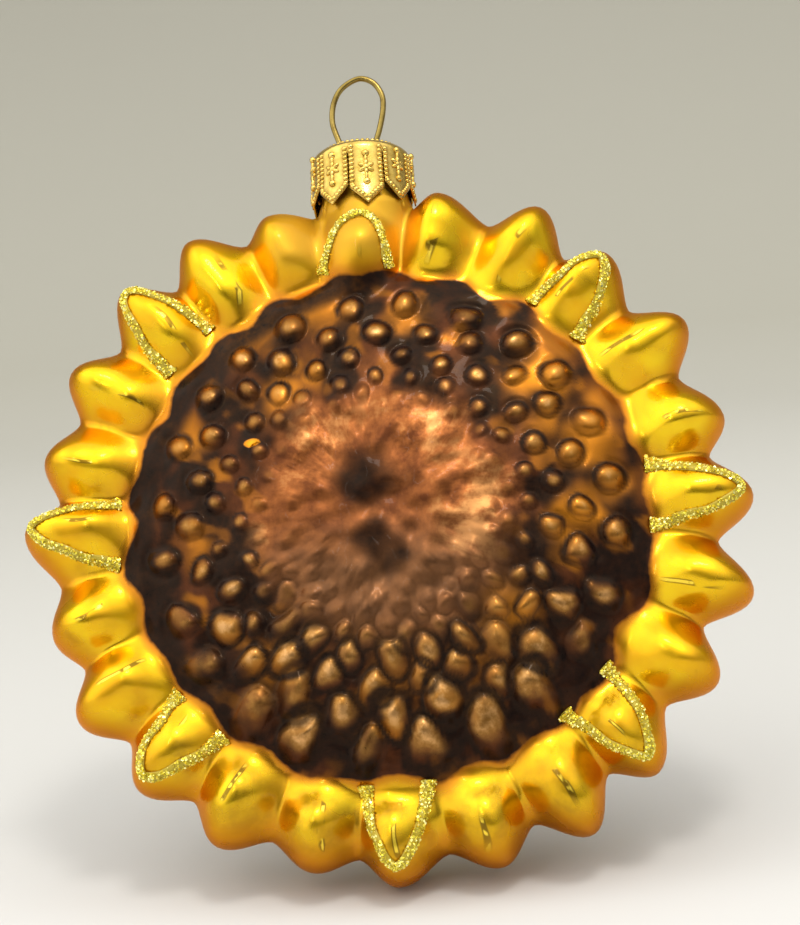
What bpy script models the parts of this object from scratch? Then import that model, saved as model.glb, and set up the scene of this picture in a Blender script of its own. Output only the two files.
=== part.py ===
"""A mouth-blown glass sunflower ornament with its stamped cap and wire hanger.

Metres, +Z up. The flower faces -Y and has the same relief on its back, as from a two-part mould.
The origin is the point inside the top of the wire loop, where a hook carries the ornament.
Flower coordinates below are millimetres from the middle of the petal ring: x to the right, z up, and
height out from the seam plane between the two halves of the mould.
"""
import math

import bmesh
import bpy
import numpy as np
from mathutils import Vector, geometry
from mathutils.bvhtree import BVHTree

MM = 0.001
HOOK_TO_FLOWER = 67.4

# Petal ring: 24 petals, number 0 in front of the neck, then clockwise as seen from the front
PETALS = 24
PETAL_STEP = 360.0 / PETALS
VALLEY_RADIUS = 46.0
TIP_RADII = np.array([44.5, 49, 51, 50, 51, 49.5, 51, 51.5, 50.5, 50.5, 51, 49.5,
                      49.5, 48.5, 49.5, 49.5, 50, 48.5, 50.5, 49, 50, 51, 50.5, 48.5])
TIP_LEANS = np.array([0, -2, 0, -1.5, 0, 1.5, 0, 0.5, 0, 1.5, 0, -0.5,
                      1, 0, 0.5, 0.5, 0, -1, 2, -0.5, -0.5, 0.5, -1, -2])
TIP_BLUNTNESS = 0.8
EDGE_ROUNDING = 6.5
VALLEY_HEIGHT = 5.4
CREST_RISE = 3.4
CREST_BREADTH = 0.75

# Seed head: a low dome, a little off the petals' centre, with staggered rings of 24 seeds
DISC_CENTRE = np.array([0.9, -1.2])
DISC_RADIUS = 36.0
DISC_RIM_HEIGHT = 6.2
DOME_RISE = 8.0
DIMPLE_DEPTH = 1.0
DIMPLE_RADIUS = 4.0
SEED_RINGS = 4
FINE_RINGS = 2
OUTER_RING_RADIUS = 30.4
RING_RATIO = 0.86
FRONT_RING_TURN = 8.0
BACK_RING_TURN = 4.0
SEED_RADIUS_SHARE = 0.069
SEED_RISE_SHARE = 0.042
FINE_RISE = 0.35
SEED_SIDES = 5

# The small petal in front of the neck stands out like an egg
EGG_CENTRE = (-1.2, 38.0)
EGG_HALF_SIZES = (6.2, 8.7)
EGG_HEIGHT = 9.3

# Neck and glass
NECK_RADIUS = 6.2
NECK_FLARE = 0.8
NECK_FOOT = 46.2
NECK_TOP = 54.2
NECK_STEPS = 8
GLASS_WALL = 0.8

# Cap: a stamped crown with nine pointed tongues
CAP_X = -0.3
CAP_TOP = 55.45
CAP_RADIUS = 7.3
CAP_SHEET = 0.3
TONGUES = 9
TONGUE_TURN = 9.0
TONGUE_TIP = 45.0
SIDE_TONGUE_LIFT = 1.9
TONGUE_POINT = 2.5
TONGUE_FLARE = 0.6
SLIT_TOP = 53.0
SLIT_WIDTH = 0.4
WIRE_HOLES = (-2.45, 1.85)
WIRE_HOLE_RADIUS = 0.78

# Hanger: one spring wire, given by the route of its centre line from leg to leg
WIRE_RADIUS = 0.4
WIRE_ROUTE = ((-4.25, 44.6), (-3.9, 48.0), (-2.75, 52.6), (-2.45, 55.4), (-3.45, 58.2), (-4.2, 61.2),
              (-3.85, 64.2), (-2.5, 66.5), (0.0, 67.8), (2.1, 67.0), (3.45, 64.9), (3.45, 62.2),
              (2.6, 59.5), (1.85, 55.4), (2.35, 52.6), (3.9, 48.0), (4.25, 44.6))
WIRE_POINTS_A_SPAN = 4

# Glitter: a raised line of glue and glitter round every third petal
GLITTER_PETALS = 8
GLITTER_FOOT = 36.4
GLITTER_TIP_INSET = 2.4
GLITTER_SPREAD = 0.88
GLITTER_BEND = 0.8
GLITTER_WIDTH = (2.6, 1.5)
GLITTER_RISE = 0.6
GLITTER_STATIONS = 15
NECK_GLITTER_MIDDLE = (-1.5, 35.4)
NECK_GLITTER_REACH = (4.7, 8.0)
CLEARANCE = 0.3

FRONT, BACK = -1, 1


def new_object(name, bm):
    """An object from a finished bmesh, with its faces turned outwards."""
    bmesh.ops.recalc_face_normals(bm, faces=bm.faces)
    mesh = bpy.data.meshes.new(name)
    bm.to_mesh(mesh)
    bm.free()
    obj = bpy.data.objects.new(name, mesh)
    bpy.context.collection.objects.link(obj)
    return obj


def clear_scene():
    for obj in list(bpy.data.objects):
        bpy.data.objects.remove(obj)


def make_material(name, colour, roughness, metallic):
    material = bpy.data.materials.new(name)
    material.use_nodes = True
    shader = material.node_tree.nodes["Principled BSDF"]
    shader.inputs["Base Color"].default_value = (*colour, 1.0)
    shader.inputs["Roughness"].default_value = roughness
    shader.inputs["Metallic"].default_value = metallic
    return material


def place(x, height, z):
    """A flower point, in millimetres, as a point of the part in metres."""
    return Vector((x * MM, height * MM, (z - HOOK_TO_FLOWER) * MM))


def smooth_step(value, low, high):
    share = np.clip((value - low) / (high - low), 0.0, 1.0)
    return share * share * (3.0 - 2.0 * share)


def petal_phase(angle):
    """The petal at each angle in degrees, and how far over it: -1 and 1 in its valleys, 0 at its tip."""
    petal = np.floor(angle / PETAL_STEP + 0.5).astype(int)
    from_middle = angle - PETAL_STEP * petal
    petal = petal % PETALS
    lean = TIP_LEANS[petal]
    half = np.where(from_middle < lean, PETAL_STEP / 2 + lean, PETAL_STEP / 2 - lean)
    return petal, (from_middle - lean) / half


def petal_angle(petal, phase):
    lean = TIP_LEANS[petal % PETALS]
    half = PETAL_STEP / 2 + (lean if phase < 0 else -lean)
    return PETAL_STEP * petal + lean + phase * half


def outline_radius(angle):
    petal, phase = petal_phase(angle)
    blunt = np.abs(np.cos(math.pi * phase / 2)) ** (2 * TIP_BLUNTNESS)
    return VALLEY_RADIUS + (TIP_RADII[petal] - VALLEY_RADIUS) * blunt


def neck_radius(z):
    return NECK_RADIUS + NECK_FLARE * np.exp(-np.maximum(z - NECK_FOOT, 0.0) / 1.2)


def dome_height(from_middle):
    share = np.clip(from_middle / DISC_RADIUS, 0.0, 1.0)
    dimple = DIMPLE_DEPTH * np.exp(-(from_middle / DIMPLE_RADIUS) ** 2)
    return DISC_RIM_HEIGHT + DOME_RISE * (1.0 - share ** 2) - dimple


def body_height(x, z, thinner=0.0, rounding=EDGE_ROUNDING):
    """Height of the glass over the seam plane, without its seeds, at flower points."""
    x, z = np.asarray(x, float), np.asarray(z, float)
    angle = np.degrees(np.arctan2(x, z)) % 360.0
    petal, phase = petal_phase(angle)
    radius = np.hypot(x, z)
    to_edge = outline_radius(angle) - thinner - radius
    from_middle = np.hypot(x - DISC_CENTRE[0], z - DISC_CENTRE[1])
    crest = np.abs(np.cos(math.pi * phase / 2)) ** (2 * CREST_BREADTH)
    crest_growth = 0.35 + 0.65 * smooth_step(from_middle, DISC_RADIUS, DISC_RADIUS + 5.0)
    petals = VALLEY_HEIGHT + CREST_RISE * crest * crest_growth
    in_petals = smooth_step(from_middle, DISC_RADIUS - 2.0, DISC_RADIUS + 1.5)
    height = (1.0 - in_petals) * dome_height(from_middle) + in_petals * petals
    inward = 1.0 - np.clip(to_edge / rounding, 0.0, 1.0)
    body = (height - thinner) * np.sqrt(1.0 - inward ** 2)
    neck = np.sqrt(np.maximum((neck_radius(z) - thinner) ** 2 - x ** 2, 0.0)) * smooth_step(z, 36.0, 45.0)
    across = (x - EGG_CENTRE[0]) / EGG_HALF_SIZES[0]
    upward = (z - EGG_CENTRE[1]) / EGG_HALF_SIZES[1]
    egg = (EGG_HEIGHT - thinner) * np.sqrt(np.maximum(1.0 - across ** 2 - upward ** 2, 0.0))
    return (body ** 5 + neck ** 5 + egg ** 5) ** 0.2


def polar(radius, angle):
    turn = math.radians(angle)
    return radius * math.sin(turn), radius * math.cos(turn)


def seed_places(turn):
    """Centre, ring radius of each full seed of one face, ring after ring towards the middle."""
    places = []
    for ring in range(SEED_RINGS):
        radius = OUTER_RING_RADIUS * RING_RATIO ** ring
        for number in range(PETALS):
            x, z = polar(radius, turn + PETAL_STEP * (number + 0.5 * ring))
            places.append((x + DISC_CENTRE[0], z + DISC_CENTRE[1], radius))
    return places


def outline_points(thinner, phases):
    """The flower's edge from the right of the neck clockwise to its left, then up and over the neck."""
    start = math.degrees(math.atan2(NECK_RADIUS + NECK_FLARE, NECK_FOOT))
    points = []
    for petal in range(1, PETALS):
        for phase in phases:
            angle = petal_angle(petal, phase)
            if start + 0.8 < angle < 360.0 - start - 0.8:
                points.append(polar(float(outline_radius(np.array(angle))) - thinner, angle))
    sides = [(neck_radius(z) - thinner, z) for z in (NECK_FOOT - 0.4 - thinner, 47.6, 50.5)]
    return [(x, z) for x, z in reversed(sides)], points, [(-x, z) for x, z in sides]


def neck_columns(radius):
    return [radius * math.sin(math.radians(-90 + 180 * step / NECK_STEPS)) for step in range(NECK_STEPS + 1)]


def surface_points(thinner, edge_insets, columns):
    """Points inside the outline that carry the petals' relief, at each inset from the edge."""
    points = []
    for inset in edge_insets:
        for petal in range(PETALS):
            for phase in columns:
                angle = petal_angle(petal, phase)
                points.append(polar(float(outline_radius(np.array(angle))) - thinner - inset, angle))
    return points


def ring_points(radius, count, turn=0.0):
    return [(x + DISC_CENTRE[0], z + DISC_CENTRE[1])
            for x, z in (polar(radius, turn + 360.0 * number / count) for number in range(count))]


def neck_points(thinner, rows):
    points = []
    for z in rows:
        points.extend((x, z) for x in neck_columns(float(neck_radius(z)) - thinner)[1:-1])
    return points


def face_relief(turn):
    """Flower points and extra heights for one face's seeds, fine bumps and middle."""
    points = []
    for x, z, radius in seed_places(turn):
        rise = SEED_RISE_SHARE * radius
        for share, risen, twist in ((1.0, 0.0, 0.0), (0.56, 0.72, 36.0)):
            for side in range(SEED_SIDES):
                dx, dz = polar(SEED_RADIUS_SHARE * radius * share, twist + 360.0 * side / SEED_SIDES)
                points.append((x + dx, z + dz, rise * risen))
        points.append((x, z, rise))
    for ring in range(SEED_RINGS, SEED_RINGS + FINE_RINGS):
        radius = OUTER_RING_RADIUS * RING_RATIO ** ring
        for number in range(2 * PETALS):
            (x, z), = ring_points(radius, 1, turn + PETAL_STEP * (number + ring) / 2)
            points.append((x, z, FINE_RISE if number % 2 == 0 else 0.0))
    for radius, count in ((34.6, 48), (10.5, 16), (7.0, 12), (3.5, 8), (0.0, 1)):
        points.extend((x, z, 0.0) for x, z in ring_points(radius, count, turn))
    return points


def triangulate(edge, inside):
    """Delaunay triangles over the points inside a closed edge."""
    points = [Vector(point[:2]) for point in [*edge, *inside]]
    loop = [(number, (number + 1) % len(edge)) for number in range(len(edge))]
    found = geometry.delaunay_2d_cdt(points, loop, [], 1, 1e-5)
    return found[0], found[2], found[3]


def blown_form(name, edge, top_row, faces, thinner):
    """A closed form from two height surfaces that share the outline and have a flat end at the neck."""
    bm = bmesh.new()
    shared = {}
    top = {}
    for side, inside in faces:
        rises = [0.0] * len(edge) + [point[2] if len(point) > 2 else 0.0 for point in inside]
        flat, triangles, origins = triangulate(edge, inside)
        corners = []
        for number, (x, z) in enumerate(flat):
            source = min(origins[number]) if origins[number] else None
            on_top = source is not None and source in top_row
            if source is not None and source < len(edge) and not on_top:
                if source not in shared:
                    shared[source] = bm.verts.new(place(x, 0.0, z))
                corners.append(shared[source])
                continue
            if on_top:
                height = math.sqrt(max((float(neck_radius(z)) - thinner) ** 2 - x * x, 0.0))
            else:
                height = float(body_height(x, z, thinner)) + (rises[source] if source is not None else 0.0)
            corners.append(bm.verts.new(place(x, side * height, z)))
            if on_top:
                top[(side, source)] = corners[-1]
        for triangle in triangles:
            bm.faces.new([corners[number] for number in triangle])
    first, last = top_row[0] - 1, (top_row[-1] + 1) % len(edge)
    rim = [shared[first]] + [top[(FRONT, number)] for number in top_row]
    rim += [shared[last]] + [top[(BACK, number)] for number in reversed(top_row)]
    bm.faces.new(rim)
    return new_object(name, bm)


def closed_edge(thinner, phases, neck_top):
    """The whole outline, and which of its points lie on the flat end of the neck."""
    right, middle, left = outline_points(thinner, phases)
    top = [(x, neck_top) for x in neck_columns(float(neck_radius(neck_top)) - thinner)]
    edge = right + middle + left + top
    first = len(right) + len(middle) + len(left) + 1
    return edge, list(range(first, first + NECK_STEPS - 1))


def outer_glass():
    edge, top_row = closed_edge(0.0, (-1, -0.62, -0.28, 0, 0.28, 0.62), NECK_TOP)
    common = surface_points(0.0, (0.4,), (-1, -0.62, -0.28, 0, 0.28, 0.62))
    common += surface_points(0.0, (1.6, 3.6, 6.6), (-1, -0.5, 0, 0.5))
    common += ring_points(37.4, 72, 5.0)
    neck = neck_points(0.0, (45.2, 47.6, 50.5))
    faces = []
    for side, turn in ((FRONT, FRONT_RING_TURN), (BACK, BACK_RING_TURN)):
        faces.append((side, clear_of_neck(common) + neck + face_relief(turn)))
    return blown_form("glass_body", edge, top_row, faces, 0.0)


def clear_of_neck(points):
    """Leaves out the petal points that lie where the neck's own points are."""
    return [(x, z) for x, z in points if abs(x) > NECK_RADIUS + 1.0 or z < 43.5]


def glass_hollow():
    neck_top = NECK_TOP + 1.0
    edge, top_row = closed_edge(GLASS_WALL, (-1, -0.5, 0, 0.5), neck_top)
    inside = surface_points(GLASS_WALL, (0.8, 3.2), (-1, -0.5, 0, 0.5))
    inside = clear_of_neck(inside) + neck_points(GLASS_WALL, (45.2, 47.6, 50.5))
    inside += ring_points(37.4, 48) + ring_points(33.0, 48) + ring_points(24.0, 24) + ring_points(12.0, 12)
    inside += ring_points(0.0, 1)
    hollow = blown_form("glass_hollow", edge, top_row, [(FRONT, inside), (BACK, inside)], GLASS_WALL)
    hollow.hide_render = True
    hollow.display_type = "WIRE"
    return hollow


def cut_by(obj, cutter):
    cut = obj.modifiers.new("hollow", "BOOLEAN")
    cut.operation = "DIFFERENCE"
    cut.solver = "EXACT"
    cut.object = cutter


def make_glass():
    glass = outer_glass()
    surface = BVHTree.FromPolygons([v.co.copy() for v in glass.data.vertices],
                                   [tuple(p.vertices) for p in glass.data.polygons])
    cut_by(glass, glass_hollow())
    glass.data.materials.append(make_material("yellow_lacquered_glass", (0.93, 0.56, 0.03), 0.2, 0.8))
    glass.data.shade_smooth()
    return glass, surface


def cap_rows():
    """Radius and height along the cap's profile, from its flat top down to the top of the slits."""
    return ((5.2, CAP_TOP), (6.5, CAP_TOP - 0.12), (7.08, CAP_TOP - 0.6), (CAP_RADIUS, CAP_TOP - 1.4),
            (CAP_RADIUS, SLIT_TOP))


def make_cap():
    bm = bmesh.new()
    half_slit = math.degrees(SLIT_WIDTH / 2 / CAP_RADIUS)
    half_tongue = 180.0 / TONGUES - half_slit
    shares = (-1.0, -0.5, 0.0, 0.5, 1.0)
    columns = []
    for tongue in range(TONGUES):
        middle = TONGUE_TURN + 360.0 * tongue / TONGUES
        lift = SIDE_TONGUE_LIFT * math.sin(math.radians(middle)) ** 2
        for share in shares:
            turn = math.radians(middle + half_tongue * share)
            bottom = TONGUE_TIP + lift + TONGUE_POINT * abs(share)
            profile = list(cap_rows())
            for step in (1 / 3, 2 / 3, 1.0):
                z = SLIT_TOP + (bottom - SLIT_TOP) * step
                profile.append((CAP_RADIUS + TONGUE_FLARE * step ** 2, z))
            across, forward = math.sin(turn), -math.cos(turn)
            columns.append([bm.verts.new(place(CAP_X + r * across, r * forward, z)) for r, z in profile])
    centre = bm.verts.new(place(CAP_X, 0.0, CAP_TOP))
    band = len(cap_rows())
    for number, ring in enumerate(columns):
        following = columns[(number + 1) % len(columns)]
        is_slit = number % len(shares) == len(shares) - 1
        bm.faces.new((centre, ring[0], following[0]))
        rows = band if is_slit else len(ring)
        for row in range(rows - 1):
            bm.faces.new((ring[row], ring[row + 1], following[row + 1], following[row]))
    cap = new_object("cap", bm)
    sheet = cap.modifiers.new("sheet", "SOLIDIFY")
    sheet.thickness = CAP_SHEET * MM
    sheet.offset = -1.0
    for number, x in enumerate(WIRE_HOLES):
        cut_by(cap, hole_cutter(f"wire_hole_{number + 1}", x))
    cap.data.materials.append(make_material("gold_stamped_sheet", (0.83, 0.61, 0.24), 0.25, 1.0))
    cap.data.shade_smooth()
    return cap


def hole_cutter(name, x):
    bpy.ops.mesh.primitive_cylinder_add(vertices=10, radius=WIRE_HOLE_RADIUS * MM, depth=3.0 * MM,
                                        location=place(x, 0.0, CAP_TOP))
    cutter = bpy.context.object
    cutter.name = name
    cutter.hide_render = True
    cutter.display_type = "WIRE"
    return cutter


def smooth_route(points, steps):
    """A Catmull-Rom curve through the points of a route."""
    ends = [2 * Vector(points[0]) - Vector(points[1]), 2 * Vector(points[-1]) - Vector(points[-2])]
    knots = [ends[0], *map(Vector, points), ends[1]]
    curve = []
    for a, b, c, d in zip(knots, knots[1:], knots[2:], knots[3:]):
        for step in range(steps):
            t = step / steps
            curve.append(0.5 * (2 * b + (c - a) * t + (2 * a - 5 * b + 4 * c - d) * t ** 2
                                + (3 * b - a - 3 * c + d) * t ** 3))
    curve.append(knots[-2])
    return curve


def make_wire():
    curve = bpy.data.curves.new("hanger_wire", "CURVE")
    curve.dimensions = "3D"
    curve.bevel_depth = WIRE_RADIUS * MM
    curve.bevel_resolution = 2
    curve.use_fill_caps = True
    route = smooth_route(WIRE_ROUTE, WIRE_POINTS_A_SPAN)
    spline = curve.splines.new("POLY")
    spline.points.add(len(route) - 1)
    for point, (x, z) in zip(spline.points, route):
        point.co = (*place(x, 0.0, z), 1.0)
    wire = bpy.data.objects.new("hanger_wire", curve)
    bpy.context.collection.objects.link(wire)
    curve.materials.append(make_material("brass_wire", (0.55, 0.46, 0.2), 0.3, 1.0))
    return wire


def glitter_route(petal):
    """Flower points along one line of glitter, up one flank of its petal and down the other."""
    route = []
    for station in range(GLITTER_STATIONS):
        across = math.sin(math.pi * (station / (GLITTER_STATIONS - 1) - 0.5))
        outward = (1.0 - across ** 2) ** GLITTER_BEND
        if petal == 0:
            route.append((NECK_GLITTER_MIDDLE[0] + NECK_GLITTER_REACH[0] * across,
                          NECK_GLITTER_MIDDLE[1] + NECK_GLITTER_REACH[1] * outward))
            continue
        apex = TIP_RADII[petal] - GLITTER_TIP_INSET
        angle = petal_angle(petal, GLITTER_SPREAD * across)
        route.append(polar(GLITTER_FOOT + (apex - GLITTER_FOOT) * outward, angle))
    return route


def surface_normal(x, z, side):
    step = 0.05
    slope_x = (body_height(x + step, z) - body_height(x - step, z)) / (2 * step)
    slope_z = (body_height(x, z + step) - body_height(x, z - step)) / (2 * step)
    return Vector((-float(slope_x), side, -float(slope_z))).normalized()


def make_glitter(name, petal, side, surface, material):
    """A low ribbon of glitter that follows the glass, a hair above it."""
    route = glitter_route(petal)
    bm = bmesh.new()
    rings = []
    for station, (x, z) in enumerate(route):
        before, after = route[max(station - 1, 0)], route[min(station + 1, len(route) - 1)]
        normal = surface_normal(x, z, side)
        middle = place(x, side * float(body_height(x, z)), z)
        along = (place(after[0], side * float(body_height(*after)), after[1])
                 - place(before[0], side * float(body_height(*before)), before[1])).normalized()
        across = along.cross(normal).normalized()
        to_foot = abs(2.0 * station / (GLITTER_STATIONS - 1) - 1.0)
        width = GLITTER_WIDTH[1] + (GLITTER_WIDTH[0] - GLITTER_WIDTH[1]) * to_foot ** 2
        ring = []
        for share, rise in ((-0.5, 0.0), (-0.3, 0.8), (0.3, 0.8), (0.5, 0.0), (0.0, 0.0)):
            reach = middle + across * (share * width * MM)
            nearest = surface.find_nearest(reach)[0]
            ring.append(bm.verts.new(nearest + normal * ((CLEARANCE + rise * GLITTER_RISE) * MM)))
        rings.append(ring)
    for ring, following in zip(rings, rings[1:]):
        for number in range(len(ring)):
            after = (number + 1) % len(ring)
            bm.faces.new((ring[number], ring[after], following[after], following[number]))
    bm.faces.new(rings[0])
    bm.faces.new(rings[-1])
    bmesh.ops.triangulate(bm, faces=bm.faces)
    glitter = new_object(name, bm)
    glitter.data.materials.append(material)
    return glitter


def main():
    clear_scene()
    glass, surface = make_glass()
    hanging = bpy.data.objects.new("ornament", None)
    bpy.context.collection.objects.link(hanging)
    pieces = [glass, make_cap(), make_wire()]
    material = make_material("gold_glitter", (0.72, 0.62, 0.15), 0.45, 0.7)
    for side, face in ((FRONT, "front"), (BACK, "back")):
        for number in range(GLITTER_PETALS):
            petal = number * PETALS // GLITTER_PETALS
            pieces.append(make_glitter(f"glitter_{face}_{number + 1}", petal, side, surface, material))
    for piece in pieces:
        piece.parent = hanging


main()
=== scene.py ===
"""Dresses the blown glass sunflower ornament: lacquered glass, stamped cap, wire hanger and glitter.

Flower coordinates are millimetres from the middle of the petal ring: x to the right, z up, and height out
from the seam plane between the two halves of the mould. The flower faces -Y.
"""
from math import cos, degrees, pi, radians, sin, sqrt

import bpy
import numpy as np
from mathutils import Matrix, Vector


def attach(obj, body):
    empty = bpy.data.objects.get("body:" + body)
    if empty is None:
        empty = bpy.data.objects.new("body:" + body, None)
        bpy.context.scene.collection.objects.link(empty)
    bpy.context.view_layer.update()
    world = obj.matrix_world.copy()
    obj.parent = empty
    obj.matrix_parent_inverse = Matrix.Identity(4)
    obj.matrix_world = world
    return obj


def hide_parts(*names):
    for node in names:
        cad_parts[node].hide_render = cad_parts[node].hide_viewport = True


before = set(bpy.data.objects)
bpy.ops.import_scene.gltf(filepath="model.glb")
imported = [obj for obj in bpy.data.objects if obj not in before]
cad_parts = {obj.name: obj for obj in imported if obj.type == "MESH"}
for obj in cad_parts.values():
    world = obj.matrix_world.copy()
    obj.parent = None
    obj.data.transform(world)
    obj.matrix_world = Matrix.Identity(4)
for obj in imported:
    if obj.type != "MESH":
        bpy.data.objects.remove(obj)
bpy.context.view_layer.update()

MM = 0.001
HOOK_TO_FLOWER = 67.4
FRONT, BACK = -1, 1

# Petal ring, as on the CAD part
PETALS = 24
PETAL_STEP = 360.0 / PETALS
VALLEY_RADIUS = 46.0
TIP_RADII = np.array([44.5, 49, 51, 50, 51, 49.5, 51, 51.5, 50.5, 50.5, 51, 49.5,
                      49.5, 48.5, 49.5, 49.5, 50, 48.5, 50.5, 49, 50, 51, 50.5, 48.5])
TIP_LEANS = np.array([0, -2, 0, -1.5, 0, 1.5, 0, 0.5, 0, 1.5, 0, -0.5,
                      1, 0, 0.5, 0.5, 0, -1, 2, -0.5, -0.5, 0.5, -1, -2])
TIP_BLUNTNESS = 0.8
EDGE_ROUNDING = 6.5
VALLEY_HEIGHT = 5.4
CREST_RISE = 3.4
CREST_BREADTH = 0.75

# Seed head
DISC_CENTRE = (0.9, -1.2)
DISC_RADIUS = 36.0
PAINTED_RADIUS = 35.3
DISC_RIM_HEIGHT = 6.2
DOME_RISE = 8.0
DIMPLE_DEPTH = 1.0
DIMPLE_RADIUS = 4.0
SEED_FADING = (1.0, 1.0, 0.9, 0.7, 0.4, 0.3, 0.24, 0.18, 0.14)
LOW_SEED_REGAIN = (0.0, 0.0, 0.05, 0.2, 0.4, 0.4, 0.3, 0.2, 0.1)
OUTER_RING_RADIUS = 30.4
RING_RATIO = 0.86
FRONT_RING_TURN = 8.0
BACK_RING_TURN = 4.0
SEED_RADIUS_SHARE = 0.069
SEED_RISE_SHARE = 0.042
LOW_SEED_GROWTH = 0.36
LOW_SEED_LIFT = 0.3

# Unevenness of the blown glass: height and size of its bumps
PETAL_WAVES = (0.34, 9.0)
PETAL_RIPPLES = (0.07, 3.8)
DISC_WAVES = (0.25, 9.0)

# The small petal in front of the neck
EGG_CENTRE = (-1.2, 38.0)
EGG_HALF_SIZES = (6.2, 8.7)
EGG_HEIGHT = 9.3

# Neck
NECK_RADIUS = 6.2
NECK_FLARE = 0.8
NECK_FOOT = 46.2
NECK_TOP = 54.2
NECK_WALL = 1.1
NECK_DEPTH = 5.0

# Mesh of the glass: columns round the flower, and rows from its middle out to the seam
COLUMNS_A_PETAL = 18
NECK_COLUMNS = 30
MIDDLE_ROWS = 22
SEED_ROWS = 54
RIM_ROWS = 8
EDGE_ROWS = 22
MIDDLE_RADIUS = 15.0
SEED_ZONE_RADIUS = 35.0
MERGE_GAP = 0.01 * MM

# Cap
CAP_X = -0.3
CAP_TOP = 55.45
CAP_RADIUS = 7.3
CAP_SHEET = 0.22
CAP_SHOULDER = (1.9, 1.5)
CAP_STEPS = 18
TONGUE_ROWS = 24
TONGUES = 9
TONGUE_TURN = 9.0
TONGUE_TIP = 45.0
SIDE_TONGUE_LIFT = 1.9
TONGUE_POINT = 2.5
TONGUE_FLARE = 0.6
SLIT_TOP = 53.0
SLIT_WIDTH = 0.18

# Stamped marks of the cap: half width, half height and rise of each bead
EDGE_BEAD = (0.42, 0.35, 0.26)
EDGE_PITCH = 0.66
POINT_BEAD = (0.41, 0.38, 0.26)
DOT = (0.56, 0.56, 0.45)
STEM = (0.26, 0.8, 0.28)
STAR_MIDDLE = (0.6, 0.6, 0.36)
STAR_RAY = (0.34, 0.62, 0.34)
STAR_REACH = 0.66
STAR_HEIGHT = 5.55
RING_BEAD = (0.35, 0.35, 0.33)
RING_BEADS = 48
RECESS_SHADE_REACH = 0.62

# Hanger
WIRE_RADIUS = 0.43
WIRE_STEPS = 10
WIRE_ROUTE = ((-4.25, 44.6), (-3.9, 48.0), (-2.75, 52.6), (-2.45, 55.4), (-3.45, 58.2), (-4.2, 61.2),
              (-3.85, 64.2), (-2.5, 66.5), (0.0, 67.8), (2.1, 67.0), (3.3, 64.9), (3.35, 62.6),
              (2.75, 59.8), (2.0, 57.4), (1.5, 55.2), (2.1, 52.0), (3.9, 48.0), (4.25, 44.6))

# Glitter
GLITTER_PETALS = 8
GLITTER_FOOT = 36.4
GLITTER_TIP_INSET = 2.4
GLITTER_SPREAD = 0.88
GLITTER_BEND = 1.65
GLITTER_WIDTH = (2.8, 1.5)
NECK_GLITTER_WIDTH = 1.15
GLITTER_RISE = 0.55
NECK_GLITTER_MIDDLE = (-1.5, 35.4)
NECK_GLITTER_REACH = (4.7, 8.0)
NECK_GLITTER_LEAN = 1.3
GLITTER_STATIONS = 70
FLAKES_A_LINE = 860
FLAKE_SIZE = 0.36
FLAKE_DEPTH = 0.28
FLAKE_TILT = 0.55

# Camera, fitted to the petal tips of the photograph
CAMERA_ELEVATION = -14.85
CAMERA_AZIMUTH = 3.35
CAMERA_ROLL = -3.52
CAMERA_DISTANCE = 279.3
CAMERA_TARGET = (2.66, 8.78)
CAMERA_LENS = 77.5

# Studio: the floor tilts because the ornament leans back in the photograph
FLOOR_TILT = 24.0
FLOOR_HALF_SIZE = (1.4, 0.75)
FLOOR_SHIFT = -0.1
FLOOR_BACK = 0.6
WALL_HEIGHT = 1.2
SWEEP = 0.25

# Soft lights and dim sides of the room: direction, reach in degrees and strength
ROOM_GLOW = 0.62
ROOM_LIGHTS = (((0.0, -0.25, 0.97), 75.0, 1.0), ((-0.80, -0.45, 0.35), 55.0, 1.1),
               ((0.5, -0.8, 0.5), 50.0, 0.6), ((0.30, -0.72, -0.62), 64.0, -0.50),
               ((0.9, -0.3, -0.2), 50.0, -0.2))


def place(x, height, z):
    """A flower point, in millimetres, as a point in metres."""
    return Vector((x * MM, height * MM, (z - HOOK_TO_FLOWER) * MM))


def ease(value, low, high):
    """0 below low, 1 above high, and a smooth rise between them."""
    share = np.clip((value - low) / (high - low), 0.0, 1.0)
    return share * share * (3.0 - 2.0 * share)


def wobble(x, z, size, seed):
    """A smooth random field between about -1 and 1, with bumps of about the given size in millimetres."""
    draw = np.random.default_rng(seed)
    waves = 14
    total = np.zeros_like(x)
    for _ in range(waves):
        turn, shift = draw.uniform(0, 2 * pi, 2)
        pace = 2 * pi / size * draw.uniform(0.45, 1.1)
        total += np.sin(pace * (x * cos(turn) + z * sin(turn)) + shift)
    return total / sqrt(waves) * 0.8


def uneven(x, z, waves, seed):
    height, size = waves
    return height * wobble(x, z, size, seed)


def polar(radius, angle):
    turn = radians(angle)
    return radius * sin(turn), radius * cos(turn)


def petal_phase(angle):
    """The petal at each angle in degrees, and how far over it: -1 and 1 in its valleys, 0 at its tip."""
    petal = np.floor(angle / PETAL_STEP + 0.5).astype(int)
    from_middle = angle - PETAL_STEP * petal
    petal = petal % PETALS
    lean = TIP_LEANS[petal]
    half = np.where(from_middle < lean, PETAL_STEP / 2 + lean, PETAL_STEP / 2 - lean)
    return petal, (from_middle - lean) / half


def petal_angle(petal, phase):
    lean = TIP_LEANS[petal % PETALS]
    half = PETAL_STEP / 2 + (lean if phase < 0 else -lean)
    return PETAL_STEP * petal + lean + phase * half


def outline_radius(angle):
    petal, phase = petal_phase(angle)
    blunt = np.abs(np.cos(pi * phase / 2)) ** (2 * TIP_BLUNTNESS)
    return VALLEY_RADIUS + (TIP_RADII[petal] - VALLEY_RADIUS) * blunt


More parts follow.
